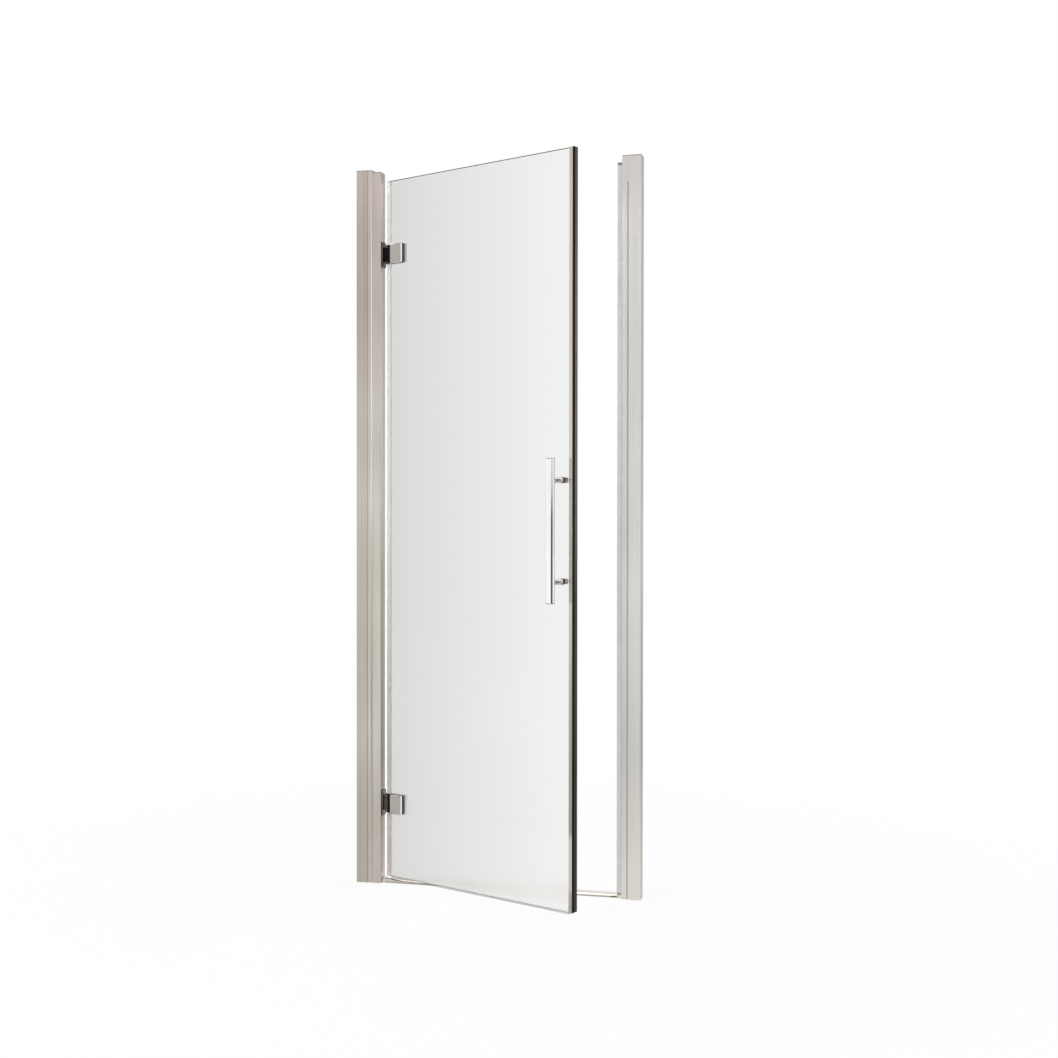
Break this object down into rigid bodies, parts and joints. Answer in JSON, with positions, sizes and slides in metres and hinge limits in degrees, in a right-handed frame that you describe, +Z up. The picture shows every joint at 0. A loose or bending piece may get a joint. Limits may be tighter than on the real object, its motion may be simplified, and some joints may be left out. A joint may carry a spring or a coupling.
{
  "type": "hinged shower door",
  "caption": "Hinged glass shower door for an alcove, with telescoping wall posts, clamp hinges, a bar handle, a magnetic latch strip and a low half-round threshold.",
  "frame": {"origin": "middle of the overall width, on the underside of the threshold, in the plane of the hinge axis, which is half way through the depth of the posts", "axes": "+X from the hinge side to the latch side, +Y into the shower, +Z up"},
  "size_m": [0.75, 0.3071, 1.85],
  "materials": {
    "satin_aluminium": "satin polished",
    "grey_plastic": "fine matt moulding",
    "pale_plastic": "matte",
    "chrome": "polished",
    "steel": "brushed",
    "nylon": "matte",
    "grey_rubber": "matte",
    "black_rubber": "matte",
    "magnet": "matte, filled with magnetic powder",
    "clear_glass": "clear, toughened",
    "clear_pvc": "clear and flexible"
  },
  "bodies": {
    "frame": {"hinge_wall_channel": "satin_aluminium", "strike_wall_channel": "satin_aluminium", "hinge_jamb": "satin_aluminium", "strike_jamb": "satin_aluminium", "hinge_post": "satin_aluminium", "hinge_channel_cap": "grey_plastic", "strike_channel_cap": "grey_plastic", "hinge_post_cap": "grey_plastic", "groove_infill": "satin_aluminium", "strike_seal": "pale_plastic", "strike_seal_plug": "grey_plastic", "strike_magnet": "magnet", "jamb_fixing_screws": "steel", "screw_cover_caps": "grey_plastic", "threshold_bar": "satin_aluminium", "threshold_end_caps": "pale_plastic", "lower_wall_plate": "chrome", "upper_wall_plate": "chrome", "lower_plate_screws": "steel", "upper_plate_screws": "steel", "lower_hinge_bushes": "nylon", "upper_hinge_bushes": "nylon"},
    "leaf": {"lower_hinge_pin": "steel", "upper_hinge_pin": "steel", "lower_hinge_clamp": "chrome", "upper_hinge_clamp": "chrome", "lower_back_plate": "chrome", "upper_back_plate": "chrome", "lower_clamp_gaskets": "grey_rubber", "upper_clamp_gaskets": "grey_rubber", "lower_clamp_screws": "steel", "upper_clamp_screws": "steel", "glass_panel": "clear_glass", "hinge_edge_seal": "clear_pvc", "bottom_drip_seal": "clear_pvc", "latch_profile": "satin_aluminium", "latch_magnet_gasket": "black_rubber", "latch_magnet": "magnet", "handle_bar": "chrome", "handle_bar_ends": "chrome", "handle_posts": "chrome", "handle_washers": "black_rubber", "handle_studs": "steel", "handle_rear_caps": "chrome"}
  },
  "joints": [
    {"name": "door_swing", "type": "hinge", "parent": "frame", "child": "leaf", "pos_m": [-0.2945, 0, 0], "axis": [0, 0, -1], "range_deg": [-24, 66]}
  ]
}
